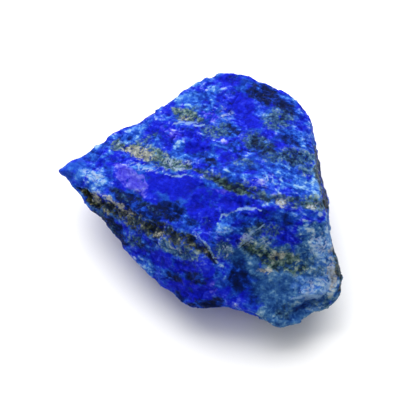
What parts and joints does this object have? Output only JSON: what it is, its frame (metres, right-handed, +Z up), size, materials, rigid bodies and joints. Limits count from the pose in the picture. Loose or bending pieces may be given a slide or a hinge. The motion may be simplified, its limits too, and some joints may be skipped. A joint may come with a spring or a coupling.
{
  "type": "rough lapis lazuli",
  "caption": "Rough broken lump of deep blue lapis lazuli with olive and pale veins, lying on a small flat spot.",
  "frame": {"origin": "on the surface the stone lies on, under the middle of its bounding box", "axes": "+X along the stone's greatest length, away from its pointed end; +Z up, along its least thickness; -Y is the side that faces the viewer in the picture"},
  "size_m": [0.0444, 0.0412, 0.0194],
  "materials": {
    "lapis": "rough broken stone, dull with faint glints"
  },
  "bodies": {
    "root": {"lapis_stone": "lapis"}
  },
  "joints": []
}
